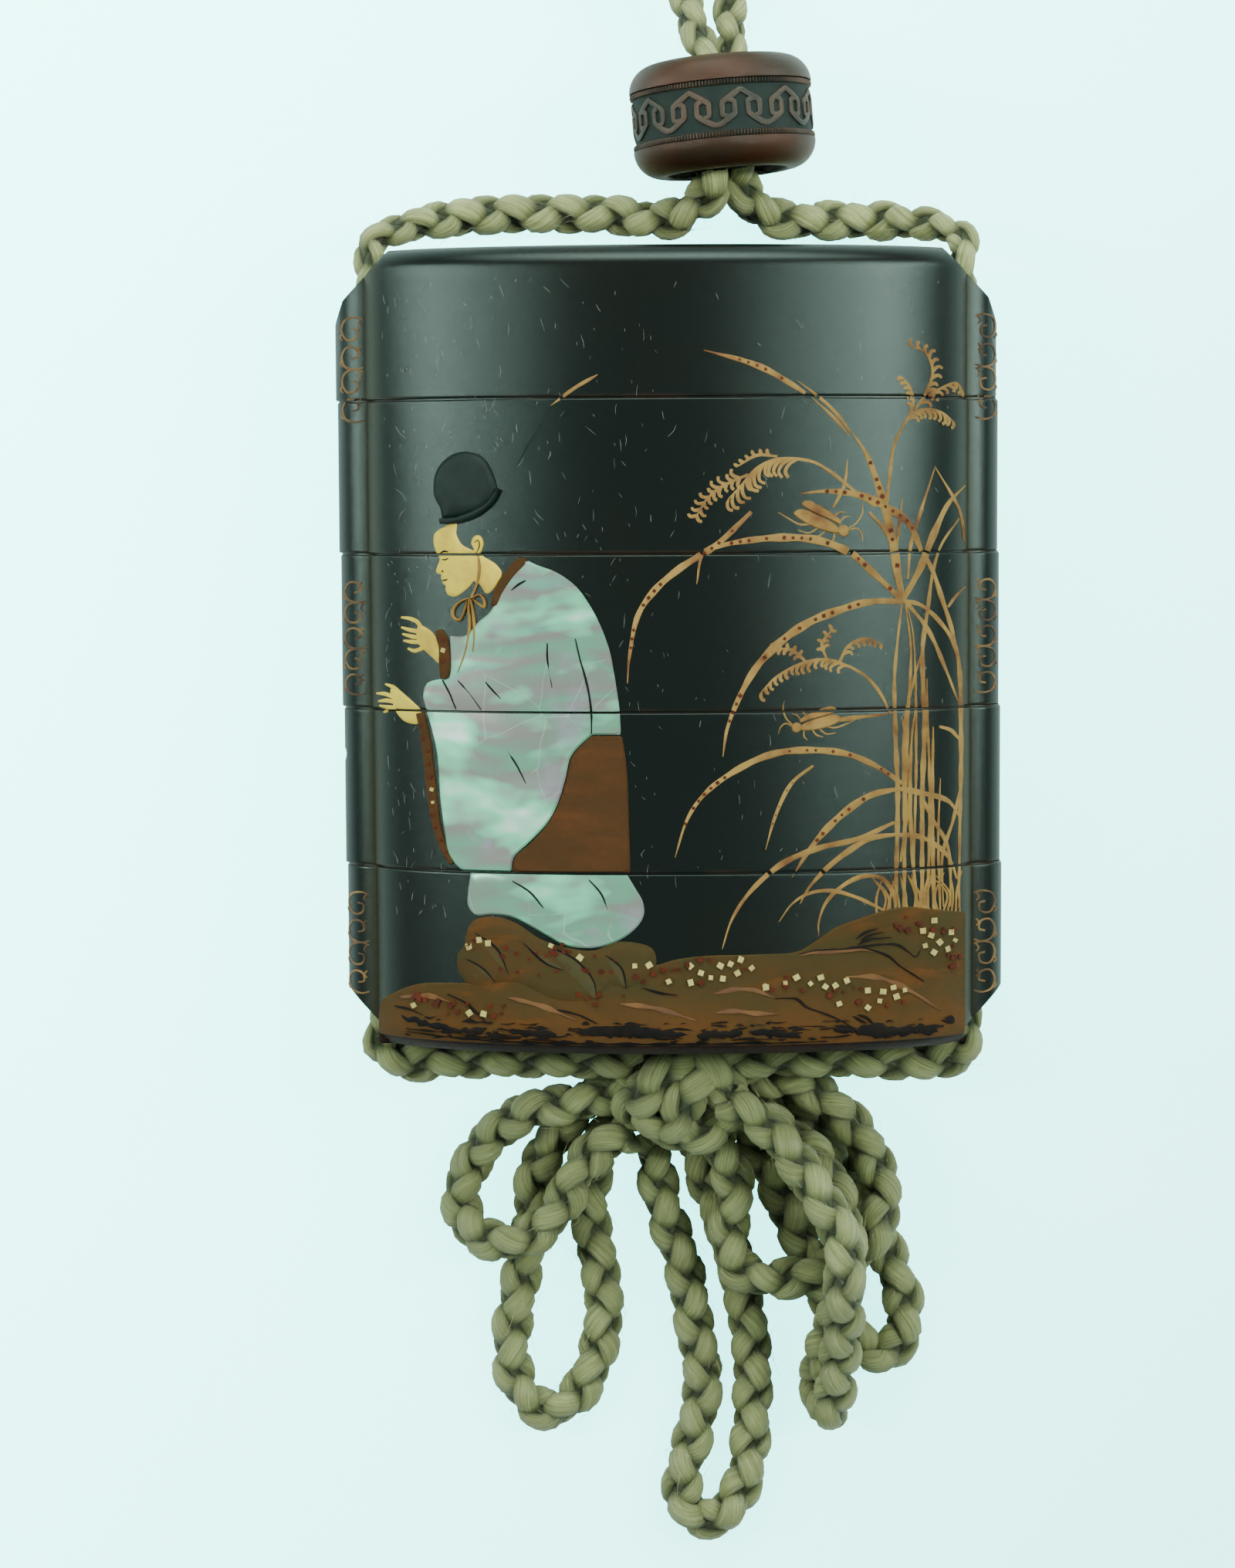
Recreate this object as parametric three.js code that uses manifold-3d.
// An inro: a small lacquered case of a lid and four trays, held shut by one silk cord.
// The cord runs through a runner on each side, is tied in a bow below and carries a sliding bead above.
// The case lies on its back. X is its width, +Y its top, +Z its front. Millimetres.
import * as THREE from "three";
import { mergeVertices } from "three/addons/utils/BufferGeometryUtils.js";
import Module from "manifold-3d";

// Outline of the case, seen from its top
const bodyHalfWidth = 28.2;
const bodyHalfDepth = 11.5;
const bodyCurve = 2.1;
const backFlatDepth = 0.15;

// Heights of the lid and the trays, from the top down
const lidHeight = 13.46;
const trayHeights = [13.9, 14.11, 14.48, 16.57];
const seamGap = 0.16;
const seamDrift = 0.16;

// Walls and fits
const wallThickness = 2.7;
const lipHeight = 3.5;
const lipThickness = 1.05;
const lipClearance = 0.32;
const trayFloor = 1.3;
const lidThickness = 2.4;
const baseThickness = 2.4;
const rimRadius = 2.0;
const lidDome = 0.4;
const cornerCut = 5.2;

// Side runners and the channels through them
const runnerHalfWidth = 3.3;
const runnerHalfDepth = 3.05;
const runnerReach = 2.1;
const channelOffset = 0.15;
const channelWall = 0.8;

// Old chip on the edge of the left runner
const chipHeight = -9.6;
const chipLength = 1.6;
const chipDepth = 0.3;
const chipSpan = 3.7;
const chipLift = 0.8;

// Low relief on the front
const hatRelief = 0.4;
const robeRelief = 0.25;
const groundRelief = 0.3;

// Sliding bead
const beadCentre = [5.0, 48.8];
const beadRadius = 8.4;
const beadHeight = 10.2;
const beadTilt = 4.5;
const beadBoreClearance = 0.5;
const beadBoreChamfer = 0.6;
const beadCapRound = 2.4;
const bandHeight = 4.4;
const bandDepth = 0.25;
const bandShoulder = 0.02;
const ringHeight = 0.5;
const recessRadius = 5.5;
const recessDepth = 1.2;

// Cord
const tautCord = 3.3;
const slackCord = 3.9;
const cordClearance = 0.3;
const coilCentre = [-7.2, 84.4];
const coilOuterRadius = 21.2;
const coilInnerRadius = 15.2;
const bendAbove = 0.9; // how far past a channel's upper end the cord starts to bend
const bendBelow = 0.6;

// Knot
const knotWidth = 11.0;
const knotSpan = 11.1;
const knotHeight = 11.6;
const knotRound = 3.0;
const knotX = 0.5;

// How far a cut runs past the face it opens
const overshoot = 1;

// How finely round shapes are cut
const outlineSteps = 48;
const runnerSteps = 20;
const channelSteps = 12;
const rimSteps = 3;
const beadSteps = 36;
const coilSteps = 30;
const cordSides = 8;

const wasm = await Module();
wasm.setup();

const trayTotal = trayHeights.reduce((sum, height) => sum + height, 0);
const caseHeight = lidHeight + trayTotal;
const caseTop = caseHeight / 2;
const middleZ = bodyHalfDepth - backFlatDepth;
const runnerX = bodyHalfWidth + runnerReach - runnerHalfWidth;
const channelX = runnerX + channelOffset;
const channelRadius = tautCord / 2 + cordClearance;
const beadBoreRadius = tautCord + beadBoreClearance;
const socketHalfWidth = channelX - channelRadius - channelWall;
const socketHalfDepth = bodyHalfDepth - wallThickness;
const lipHalfWidth = socketHalfWidth - lipClearance;
const lipHalfDepth = socketHalfDepth - lipClearance;
const insideHalfWidth = lipHalfWidth - lipThickness;
const insideHalfDepth = lipHalfDepth - lipThickness;

function toManifold(geometry) {
  const bare = geometry.clone();
  for (const name of Object.keys(bare.attributes)) {
    if (name !== "position") bare.deleteAttribute(name);
  }
  const merged = mergeVertices(bare, 1e-5);
  const index = merged.index.array;
  const triVerts = [];
  for (let i = 0; i < index.length; i += 3) {
    const [a, b, c] = [index[i], index[i + 1], index[i + 2]];
    if (a !== b && b !== c && c !== a) triVerts.push(a, b, c);
  }
  const mesh = new wasm.Mesh({
    numProp: 3,
    vertProperties: new Float32Array(merged.attributes.position.array),
    triVerts: new Uint32Array(triVerts),
  });
  return new wasm.Manifold(mesh);
}

function toGeometry(solid) {
  const mesh = solid.getMesh();
  const geometry = new THREE.BufferGeometry();
  geometry.setAttribute("position", new THREE.BufferAttribute(new Float32Array(mesh.vertProperties), 3));
  geometry.setIndex(new THREE.BufferAttribute(new Uint32Array(mesh.triVerts), 1));
  geometry.computeVertexNormals();
  return geometry;
}

// One point of a flattened oval, angle in radians
function ovalPoint(halfWidth, halfDepth, curve, angle) {
  const c = Math.cos(angle);
  const s = Math.sin(angle);
  const x = halfWidth * Math.sign(c) * Math.abs(c) ** (2 / curve);
  const z = halfDepth * Math.sign(s) * Math.abs(s) ** (2 / curve);
  return new THREE.Vector2(x, z);
}

function ovalShape(halfWidth, halfDepth, curve = bodyCurve, steps = outlineSteps) {
  const points = [];
  for (let i = 0; i < steps; i += 1) {
    points.push(ovalPoint(halfWidth, halfDepth, curve, (2 * Math.PI * i) / steps));
  }
  return new THREE.Shape(points);
}

// Extrudes an outline in X and Z along Y, between two heights
function upright(shape, bottom, top, centreX = 0) {
  const geometry = new THREE.ExtrudeGeometry(shape, { depth: top - bottom, bevelEnabled: false });
  geometry.rotateX(Math.PI / 2);
  geometry.translate(centreX, top, middleZ);
  return toManifold(geometry);
}

// A plain oval prism with the same section as the body, moved out by an offset
function bodyPrism(bottom, top, offset = 0) {
  return upright(ovalShape(bodyHalfWidth + offset, bodyHalfDepth + offset), bottom, top);
}

// The outer form of one end of the case: a rounded rim and a low dome, made by turning
// a profile and then pushing its rings out to the oval
function endForm(inner, outer, direction, dome) {
  const profile = [[0, inner, 0], [1, inner, 0]];
  for (let i = 0; i <= rimSteps; i += 1) {
    const angle = (Math.PI / 2) * (i / rimSteps);
    const inset = rimRadius * (1 - Math.cos(angle));
    profile.push([1, outer - direction * (rimRadius + dome - rimRadius * Math.sin(angle)), inset]);
  }
  for (const scale of [0.72, 0.38, 0]) {
    profile.push([scale, outer - direction * dome * scale ** 2, rimRadius]);
  }
  const points = profile.map(([scale, height]) => new THREE.Vector2(scale, height));
  const geometry = new THREE.LatheGeometry(points, outlineSteps);
  const position = geometry.attributes.position;
  const rings = profile.length;
  for (let i = 0; i < position.count; i += 1) {
    const [scale, height, inset] = profile[i % rings];
    const angle = (2 * Math.PI * Math.floor(i / rings)) / outlineSteps;
    const point = ovalPoint(bodyHalfWidth - inset, bodyHalfDepth - inset, bodyCurve, angle);
    position.setXYZ(i, point.x * scale, height, middleZ + point.y * scale);
  }
  const index = geometry.index.array;
  if (direction > 0) {
    for (let i = 0; i < index.length; i += 3) [index[i], index[i + 1]] = [index[i + 1], index[i]];
  }
  return toManifold(geometry);
}

function runners(bottom, top) {
  const section = ovalShape(runnerHalfWidth, runnerHalfDepth, 2, runnerSteps);
  return upright(section, bottom, top, -runnerX).add(upright(section, bottom, top, runnerX));
}

function channels(bottom, top) {
  const section = ovalShape(channelRadius, channelRadius, 2, channelSteps);
  return upright(section, bottom, top, -channelX).add(upright(section, bottom, top, channelX));
}

// Slanting cuts that take off the four outer corners of the case
function cornerCuts() {
  const size = 4 * cornerCut + 2 * bodyHalfDepth;
  const reach = bodyHalfWidth + runnerReach;
  let cuts = null;
  for (const side of [-1, 1]) {
    for (const end of [-1, 1]) {
      const box = new THREE.BoxGeometry(size, size, size);
      box.rotateZ(Math.PI / 4);
      const away = (size / 2) * Math.SQRT2 - cornerCut;
      box.translate(side * (reach + away), end * caseTop, middleZ);
      const solid = toManifold(box);
      cuts = cuts ? cuts.add(solid) : solid;
    }
  }
  return cuts;
}

function backCut() {
  const depth = bodyHalfDepth;
  const box = new THREE.BoxGeometry(4 * bodyHalfWidth, 2 * caseHeight, depth);
  box.translate(0, 0, -depth / 2);
  return toManifold(box);
}

function chipCut() {
  const chip = new THREE.SphereGeometry(1, 12, 8);
  chip.scale(2 * chipDepth, chipLength / 2, chipSpan / 2);
  chip.translate(-(bodyHalfWidth + runnerReach) - chipDepth, chipHeight, middleZ + chipLift);
  return toManifold(chip);
}

// Outer form of one section between two heights, before it is hollowed
function sectionForm(bottom, top) {
  let form;
  if (top === caseTop) {
    form = endForm(bottom, top, 1, lidDome);
  } else if (bottom === -caseTop) {
    form = endForm(top, bottom, -1, 0);
  } else {
    form = bodyPrism(bottom, top);
  }
  return form.add(runners(bottom, top));
}

function hollow(halfWidth, halfDepth, bottom, top) {
  return upright(ovalShape(halfWidth, halfDepth), bottom, top);
}

// A closed outline on the front, drawn as a smooth curve through a few points,
// each a share of the case's half width and half height
function frontOutline(points, divisions) {
  const places = points.map(([x, y]) => new THREE.Vector3(x * bodyHalfWidth, y * caseTop, 0));
  const curve = new THREE.CatmullRomCurve3(places, true, "centripetal");
  const outline = curve.getSpacedPoints(divisions).slice(0, -1);
  return new THREE.Shape(outline.map((p) => new THREE.Vector2(p.x, p.y)));
}

const hatOutline = frontOutline([
  [-0.748, 0.392], [-0.741, 0.450], [-0.702, 0.485], [-0.649, 0.499], [-0.592, 0.485], [-0.560, 0.447],
  [-0.543, 0.378], [-0.628, 0.345], [-0.723, 0.328],
], 16);

const robeOutline = frontOutline([
  [-0.468, 0.232], [-0.358, 0.201], [-0.255, 0.124], [-0.191, 0.011], [-0.167, -0.097], [-0.152, -0.204],
  [-0.131, -0.367], [-0.121, -0.535], [-0.085, -0.626], [-0.131, -0.687], [-0.270, -0.728],
  [-0.440, -0.678], [-0.624, -0.651], [-0.670, -0.554], [-0.709, -0.505], [-0.738, -0.356],
  [-0.787, -0.127], [-0.777, -0.074], [-0.706, -0.041], [-0.699, 0.044], [-0.564, 0.110],
], 40);

const groundOutline = frontOutline([
  [-0.936, -0.927], [-0.904, -0.863], [-0.805, -0.830], [-0.691, -0.816], [-0.681, -0.750],
  [-0.638, -0.689], [-0.507, -0.670], [-0.365, -0.717], [-0.245, -0.734], [-0.060, -0.728],
  [-0.046, -0.769], [0.103, -0.747], [0.404, -0.739], [0.528, -0.681], [0.688, -0.643], [0.901, -0.656],
  [0.915, -0.789], [0.872, -0.949], [0.355, -0.971], [-0.355, -0.971], [-0.794, -0.960],
], 36);

const reliefs = [[hatOutline, hatRelief], [robeOutline, robeRelief], [groundOutline, groundRelief]];

// The parts of the raised pictures that stand on one section
function reliefOn(bottom, top) {
  let raised = null;
  for (const [outline, height] of reliefs) {
    const depth = bodyHalfDepth + height;
    const geometry = new THREE.ExtrudeGeometry(outline, { depth, bevelEnabled: false });
    geometry.translate(0, 0, middleZ);
    const picture = toManifold(geometry).intersect(bodyPrism(bottom, top, height));
    if (picture.isEmpty()) continue;
    raised = raised ? raised.add(picture) : picture;
  }
  return raised;
}

function finished(section, bottom, top) {
  const open = channels(bottom - overshoot, top + overshoot);
  const carved = section.subtract(open).subtract(cornerCuts()).subtract(backCut());
  return bottom < chipHeight && chipHeight < top ? carved.subtract(chipCut()) : carved;
}

function withRelief(form, bottom, top) {
  const raised = reliefOn(bottom, Math.min(top, caseTop - rimRadius));
  return raised ? form.add(raised) : form;
}

function makeLid(bottom, top) {
  const mouth = bottom + lipHeight + lipClearance;
  const form = withRelief(sectionForm(bottom, top), bottom, top);
  const socket = hollow(socketHalfWidth, socketHalfDepth, bottom - overshoot, mouth);
  const inside = hollow(insideHalfWidth, insideHalfDepth, mouth - overshoot, top - lidThickness);
  return finished(form.subtract(socket).subtract(inside), bottom, top);
}

function makeTray(bottom, top, isBase) {
  const socketTop = isBase ? bottom : bottom + lipHeight + lipClearance;
  const floorTop = isBase ? bottom + baseThickness : socketTop + trayFloor;
  const lipTop = top + seamGap + lipHeight;
  let solid = withRelief(sectionForm(bottom, top), Math.max(bottom, rimRadius - caseTop), top);
  solid = solid.add(hollow(lipHalfWidth, lipHalfDepth, floorTop, lipTop));
  if (!isBase) {
    solid = solid.subtract(hollow(socketHalfWidth, socketHalfDepth, bottom - overshoot, socketTop));
  }
  solid = solid.subtract(hollow(insideHalfWidth, insideHalfDepth, floorTop, lipTop + overshoot));
  return finished(solid, bottom, top);
}

// Black lacquer over wood
function lacquer() {
  return new THREE.MeshStandardMaterial({ color: 0x1e2524, roughness: 0.32, metalness: 0.0 });
}

function piece(name, geometry, material) {
  const mesh = new THREE.Mesh(geometry, material);
  mesh.name = name;
  return mesh;
}

const inro = new THREE.Group();

function addSections() {
  let top = caseTop;
  [lidHeight, ...trayHeights].forEach((height, i) => {
    const last = i === trayHeights.length;
    const bottom = last ? -caseTop : top - height;
    const high = i === 0 ? caseTop : top - seamGap / 2;
    const low = last ? -caseTop : bottom + seamGap / 2;
    const solid = i === 0 ? makeLid(low, high) : makeTray(low, high, last);
    const mesh = piece(i === 0 ? "lid" : `tray_${i}`, toGeometry(solid), lacquer());
    mesh.position.x = (i - trayHeights.length / 2) * seamDrift;
    inro.add(mesh);
    top = bottom;
  });
}

// The bead is turned about its bore: rounded copper caps, a sunk band between two milled rings
function beadProfile() {
  const half = beadHeight / 2;
  const bandHalf = bandHeight / 2;
  const points = [[beadBoreRadius, -half + recessDepth], [recessRadius, -half + recessDepth]];
  points.push([recessRadius, -half]);
  const capSteps = 4;
  const capHeight = half - bandHalf - ringHeight;
  for (let i = 0; i <= capSteps; i += 1) {
    const angle = (Math.PI / 2) * (i / capSteps);
    const x = beadRadius - beadCapRound * (1 - Math.sin(angle));
    points.push([x, -half + capHeight * (1 - Math.cos(angle))]);
  }
  points.push([beadRadius, -bandHalf], [beadRadius - bandDepth, -bandHalf + bandShoulder]);
  points.push([beadRadius - bandDepth, bandHalf - bandShoulder], [beadRadius, bandHalf]);
  for (let i = capSteps; i >= 0; i -= 1) {
    const angle = (Math.PI / 2) * (i / capSteps);
    const x = beadRadius - beadCapRound * (1 - Math.sin(angle));
    points.push([x, half - capHeight * (1 - Math.cos(angle))]);
  }
  points.push([beadBoreRadius + beadBoreChamfer, half], [beadBoreRadius, half - beadBoreChamfer]);
  points.push([beadBoreRadius, -half + recessDepth]);
  return points.map(([x, y]) => new THREE.Vector2(x, y));
}

function addBead() {
  const geometry = new THREE.LatheGeometry(beadProfile(), beadSteps);
  const mesh = piece("ojime_bead", toGeometry(toManifold(geometry)), new THREE.MeshStandardMaterial({
    color: 0x6b3f2c, roughness: 0.38, metalness: 0.85,
  }));
  mesh.rotation.z = THREE.MathUtils.degToRad(beadTilt);
  mesh.position.set(beadCentre[0], beadCentre[1], beadRadius);
  inro.add(mesh);
}

// A route whose steps fall on its own points, so tight bends get more of them
class Route extends THREE.CatmullRomCurve3 {
  constructor(points) {
    super(points.map((p) => new THREE.Vector3(...p)), false, "centripetal");
  }

  getPointAt(u, target) {
    return this.getPoint(u, target);
  }

  getTangentAt(u, target) {
    return this.getTangent(u, target);
  }
}

function cordTube(points, diameter) {
  const section = [];
  for (let i = 0; i < cordSides; i += 1) {
    const angle = (2 * Math.PI * (i + 0.5)) / cordSides;
    section.push(new THREE.Vector2((diameter / 2) * Math.cos(angle), (diameter / 2) * Math.sin(angle)));
  }
  return toManifold(new THREE.ExtrudeGeometry(new THREE.Shape(section), {
    steps: points.length - 1,
    extrudePath: new Route(points),
    bevelEnabled: false,
  }));
}

// Channel ends, above the lid and below the base
const channelTop = caseTop - (channelX - (bodyHalfWidth + runnerReach - cornerCut));
const endShift = (seamDrift * trayHeights.length) / 2;
const leftAbove = -channelX - endShift;
const leftBelow = -channelX + endShift;
const rightAbove = channelX - endShift;
const rightBelow = channelX + endShift;

// From the coil through the bead, over the top, down the left runner and under the base
const leftStrand = [
  [-8.2, 68.6, 3.6], [-4.2, 66.8, 5.4], [-0.6, 64.0, 5.6], [1.4, 60.8, 5.0], [2.2, 57.6, 6.8],
  [3.3, 54.5, 9.2], [4.2, 43.1, 9.7], [2.7, 40.9, 7.4], [-0.6, 39.7, 4.6], [-5.0, 40.4, 2.6],
  [-10.0, 40.6, 1.8], [-15.4, 40.6, 1.8], [-20.0, 40.1, 3.6], [-24.2, 39.1, 6.9], [-27.3, 37.3, 10.1],
  [leftAbove, channelTop + bendAbove, 11.3], [leftAbove, 30, middleZ], [leftBelow, -30, middleZ],
  [leftBelow, -channelTop - bendBelow, middleZ], [-27.2, -37.1, 11.0], [-24.6, -38.5, 10.4],
  [-19.4, -38.4, 9.9], [-12.4, -38.4, 9.6], [-3.0, -38.6, 9.3],
];

// The same on the right
const rightStrand = [
  [10.8, 73.4, 1.7], [10.0, 70.0, 1.7], [8.0, 65.4, 1.8], [6.0, 60.8, 2.8], [5.8, 57.6, 4.6],
  [5.8, 54.5, 6.8], [6.6, 43.1, 6.9], [8.2, 40.7, 5.4], [11.2, 39.7, 3.6], [15.4, 39.8, 2.2],
  [19.5, 39.7, 2.6], [23.6, 39.2, 5.9], [27.0, 37.6, 9.8], [rightAbove, channelTop + bendAbove, 11.3],
  [rightAbove, 30, middleZ], [rightBelow, -30, middleZ], [rightBelow, -channelTop - bendBelow, middleZ],
  [27.6, -37.1, 11.0], [24.8, -38.5, 10.4], [17.0, -38.4, 9.9], [10.0, -38.4, 9.6], [4.0, -38.6, 9.3],
];

const bowLoops = {
  cord_bow_upper_left: [
    [-4.0, -41.8, 6.4], [-5.8, -42.2, 6.4], [-8.9, -43.2, 6.3], [-12.8, -43.8, 5.6], [-16.6, -46.3, 3.4],
    [-19.2, -49.7, 2.0], [-20.3, -53.1, 2.4], [-19.2, -55.7, 4.2], [-16.4, -56.6, 5.8], [-13.3, -55.8, 6.3],
    [-10.6, -53.2, 6.3], [-9.0, -49.8, 6.2], [-7.3, -47.8, 6.3], [-5.7, -46.7, 6.4], [-4.0, -46.0, 6.4],
  ],
  cord_bow_lower_left: [
    [-4.1, -42.2, 2.0], [-5.9, -42.4, 2.0], [-8.9, -44.1, 2.0], [-11.4, -47.6, 2.0], [-13.2, -51.0, 2.0],
    [-13.4, -55.2, 2.0], [-14.3, -59.4, 2.0], [-15.6, -68.4, 2.0], [-14.4, -72.3, 2.0], [-12.0, -73.9, 2.0],
    [-9.4, -72.5, 2.0], [-7.4, -68.7, 2.0], [-6.6, -63.6, 2.0], [-7.2, -58.8, 2.0], [-8.0, -53.6, 2.0],
    [-7.4, -50.1, 2.0], [-6.6, -47.4, 2.0], [-4.6, -46.2, 2.0],
  ],
  cord_bow_middle: [
    [-1.7, -47.0, 2.0], [-1.6, -49.6, 2.0], [-0.9, -53.8, 2.0], [1.0, -59.5, 2.0], [2.1, -65.7, 2.0],
    [2.9, -70.9, 2.0], [2.2, -75.5, 2.0], [1.1, -79.7, 2.0], [1.0, -82.9, 2.0], [3.1, -84.6, 2.0],
    [5.4, -83.5, 2.0], [7.0, -80.1, 2.0], [7.6, -74.4, 2.0], [7.6, -67.9, 2.0], [6.8, -62.8, 2.0],
    [5.6, -57.7, 2.0], [3.9, -53.0, 2.0], [2.7, -49.4, 2.0], [2.3, -47.0, 2.0],
  ],
  cord_bow_small_ring: [
    [4.0, -46.0, 6.4], [4.8, -48.2, 6.4], [6.0, -51.4, 6.3], [5.4, -55.2, 6.2], [5.9, -58.6, 6.2],
    [8.4, -60.1, 6.2], [11.4, -60.0, 6.3], [14.3, -59.4, 6.2], [17.1, -58.1, 5.6], [19.3, -55.3, 6.4],
    [19.9, -51.9, 5.8], [18.9, -48.4, 5.2], [16.7, -45.0, 5.2], [13.8, -42.4, 5.6], [10.4, -41.0, 6.0],
    [7.5, -40.4, 6.4], [5.2, -40.3, 6.4],
  ],
  cord_bow_lower_right: [
    [5.0, -45.2, 2.0], [7.0, -46.4, 2.0], [9.1, -50.0, 2.0], [12.3, -57.2, 2.0], [15.7, -64.3, 2.0],
    [17.9, -67.2, 2.0], [20.3, -68.5, 2.0], [22.0, -66.6, 2.0], [22.2, -63.0, 2.0], [21.0, -59.4, 2.0],
    [19.5, -55.9, 2.0], [17.3, -52.0, 2.0], [14.2, -47.3, 2.0], [10.6, -43.5, 2.0], [7.5, -42.1, 2.0],
    [5.2, -41.8, 2.0],
  ],
  cord_bow_upper_right: [
    [5.1, -42.2, 10.0], [7.4, -43.4, 10.3], [9.8, -45.5, 10.9], [12.1, -48.5, 12.2], [14.2, -51.6, 13.4],
    [15.8, -55.0, 14.1], [16.0, -58.7, 14.1], [16.0, -62.5, 12.1], [15.8, -66.5, 9.6], [15.5, -70.4, 7.5],
    [14.9, -73.4, 4.9], [14.2, -71.6, 2.2], [14.4, -67.7, 5.2], [15.3, -63.7, 7.8], [16.2, -59.7, 10.0],
    [16.4, -56.0, 10.0], [15.8, -52.7, 8.8], [14.4, -49.5, 7.2], [12.1, -47.1, 6.0], [7.9, -44.7, 5.6],
    [5.1, -44.4, 5.6],
  ],
};

// The knot lies against the base; clearance makes the larger copy that trims the cord ends
function knotForm(clearance) {
  const halfWidth = knotWidth / 2 - knotRound;
  const halfSpan = knotSpan / 2 - knotRound;
  const shape = new THREE.Shape();
  shape.moveTo(-halfWidth, -halfSpan);
  shape.lineTo(halfWidth, -halfSpan);
  shape.lineTo(halfWidth, halfSpan);
  shape.lineTo(-halfWidth, halfSpan);
  shape.closePath();
  const geometry = new THREE.ExtrudeGeometry(shape, {
    depth: knotHeight - 2 * knotRound,
    bevelEnabled: true,
    bevelSize: knotRound + clearance,
    bevelThickness: knotRound + clearance,
    bevelSegments: 4,
  });
  const knotY = -caseTop - cordClearance - knotSpan / 2;
  geometry.translate(knotX, knotY, knotRound);
  return toManifold(geometry);
}

function coilForm(clearance) {
  const radius = tautCord / 2 + clearance;
  const corner = radius * 0.5;
  const [inner, outer] = [coilInnerRadius - radius, coilOuterRadius + radius];
  const profile = [
    [inner, corner], [inner + corner, 0], [outer - corner, 0], [outer, corner],
    [outer, 2 * radius - corner], [outer - corner, 2 * radius], [inner + corner, 2 * radius],
    [inner, 2 * radius - corner], [inner, corner],
  ];
  const geometry = new THREE.LatheGeometry(profile.map(([x, y]) => new THREE.Vector2(x, y)), coilSteps);
  geometry.rotateX(Math.PI / 2);
  geometry.translate(coilCentre[0], coilCentre[1], -clearance);
  return toManifold(geometry);
}

function silk() {
  return new THREE.MeshStandardMaterial({ color: 0x989c74, roughness: 0.6, metalness: 0.0 });
}

function addCord() {
  const knotRoom = knotForm(cordClearance);
  const coilRoom = coilForm(cordClearance);
  const strand = (points) => cordTube(points, tautCord).subtract(knotRoom).subtract(coilRoom);
  inro.add(piece("cord_left_strand", toGeometry(strand(leftStrand)), silk()));
  inro.add(piece("cord_right_strand", toGeometry(strand(rightStrand)), silk()));
  inro.add(piece("cord_coil", toGeometry(coilForm(0)), silk()));
  inro.add(piece("cord_knot", toGeometry(knotForm(0)), silk()));
  for (const [name, points] of Object.entries(bowLoops)) {
    inro.add(piece(name, toGeometry(cordTube(points, slackCord).subtract(knotRoom)), silk()));
  }
}

addSections();
addBead();
addCord();

export default inro;
